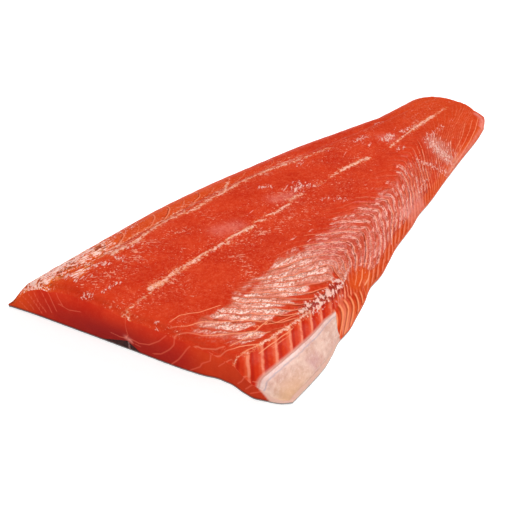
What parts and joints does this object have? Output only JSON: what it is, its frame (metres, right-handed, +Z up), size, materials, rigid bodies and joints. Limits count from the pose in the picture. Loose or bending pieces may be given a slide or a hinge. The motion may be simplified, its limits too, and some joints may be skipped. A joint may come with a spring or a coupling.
{
  "type": "raw salmon fillet",
  "caption": "Raw salmon fillet: the tail end of a side lying skin down, cut straight across, with banded flesh, dark muscle under the midline and a pale belly lining.",
  "frame": {"origin": "centre of the bounding box on its underside, where the skin lies on the surface", "axes": "+X along the fillet towards the tail, +Y across it towards the back of the fish, +Z up, out of the flesh"},
  "size_m": [0.3826, 0.165, 0.0257],
  "materials": {
    "flesh": "wet, glossy orange-red muscle with pale sheets of connective tissue",
    "dark_muscle": "moist, brown-grey muscle with a pale fat line",
    "skin": "wet silver-grey scaled skin, darker towards the back",
    "belly_lining": "moist pale pink membrane"
  },
  "bodies": {
    "root": {"flesh": "flesh", "dark_muscle": "dark_muscle", "skin": "skin", "belly_lining": "belly_lining"}
  },
  "joints": []
}
